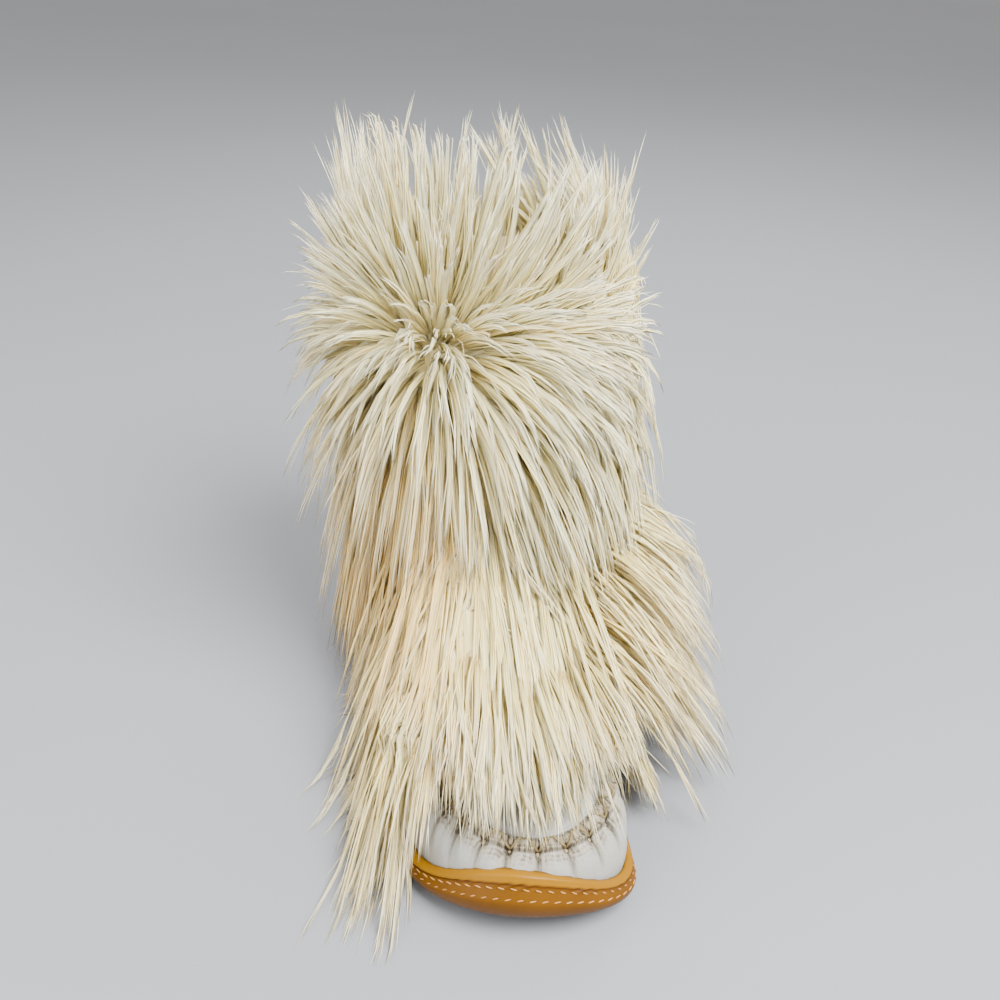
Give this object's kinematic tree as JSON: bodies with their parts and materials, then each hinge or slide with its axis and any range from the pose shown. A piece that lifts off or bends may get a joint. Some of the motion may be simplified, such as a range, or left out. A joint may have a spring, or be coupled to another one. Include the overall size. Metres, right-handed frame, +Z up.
{
  "type": "mukluk boot",
  "caption": "Right mukluk boot of white leather with long shaggy goat hair round the shaft and foot, a puckered moccasin toe and a gum rubber cup sole.",
  "frame": {"origin": "centre of the heel's contact patch on the floor", "axes": "+Z up, toe towards -Y, +X towards the inner side of the right foot"},
  "size_m": [0.2165, 0.3182, 0.2993],
  "materials": {
    "outsole": "amber gum rubber, a little translucent, softly glossy",
    "insole": "felted wool footbed",
    "upper": "white leather, fine grain, slightly worn",
    "fur": "long cream goat hair with a silky sheen"
  },
  "bodies": {
    "root": {"outsole": "outsole", "insole": "insole", "upper": "upper", "fur": "fur"}
  },
  "joints": []
}
